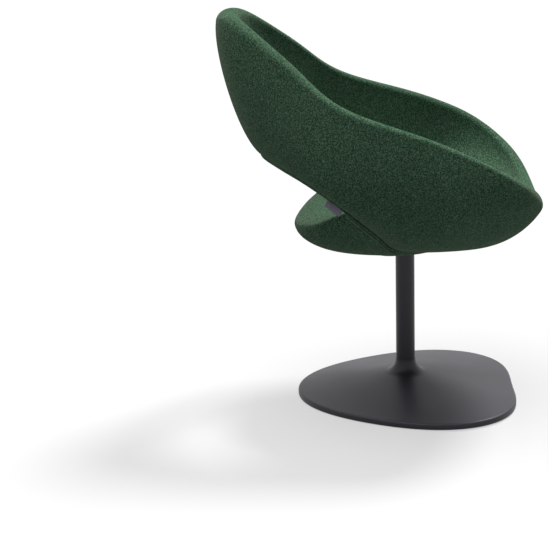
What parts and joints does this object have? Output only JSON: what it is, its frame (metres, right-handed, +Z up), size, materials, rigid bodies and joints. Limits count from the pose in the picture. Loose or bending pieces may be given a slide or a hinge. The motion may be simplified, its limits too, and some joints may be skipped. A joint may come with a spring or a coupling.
{
  "type": "pedestal swivel armchair",
  "caption": "Low felt-covered bucket armchair with a slot behind the seat, turning on a slim fixed column over a rounded three-cornered metal base.",
  "frame": {"origin": "on the floor, under the middle of the chair's outline seen from above; the swivel axis stands 47.5 mm ahead of it", "axes": "+Z up; the front of the seat looks along -Y; X runs across the arms"},
  "size_m": [0.5864, 0.6315, 0.782],
  "materials": {
    "base_paint": "satin anthracite powder coat",
    "steel": "zinc plated",
    "raw_steel": "black primed",
    "plastic": "moulded",
    "bush": "moulded bearing plastic",
    "bronze": "turned",
    "ply": "birch plywood",
    "shell": "moulded rigid foam",
    "foam": "moulded soft foam",
    "felt": "dark green melange wool felt",
    "tape": "woven zip tape",
    "label": "woven purple-grey tab"
  },
  "bodies": {
    "base": {"base_casting": "base_paint", "ballast_plate": "raw_steel", "ballast_screws": "steel", "floor_glides": "plastic", "column_tube": "base_paint", "column_plug": "steel", "column_bolt": "steel", "column_bolt_washer": "steel", "lower_bush": "bush", "upper_bush": "bush", "thrust_washer": "bronze"},
    "seat": {"spindle": "steel", "retaining_ring": "steel", "swivel_plate": "raw_steel", "plate_bolts": "steel", "plate_washers": "steel", "pan_tee_nuts": "steel", "seat_pan": "ply", "underside_cap": "plastic", "shell_core": "shell", "outer_foam": "foam", "inner_foam": "foam", "outer_cover": "felt", "inner_cover": "felt", "seat_foam": "foam", "seat_cover": "felt", "seat_under_cover": "felt", "side_zips": "tape", "label_tab": "label"}
  },
  "joints": [
    {"name": "seat_swivel", "type": "hinge", "parent": "base", "child": "seat", "pos_m": [0, -0.0475, 0.3], "axis": [0, 0, 1], "continuous": true}
  ]
}
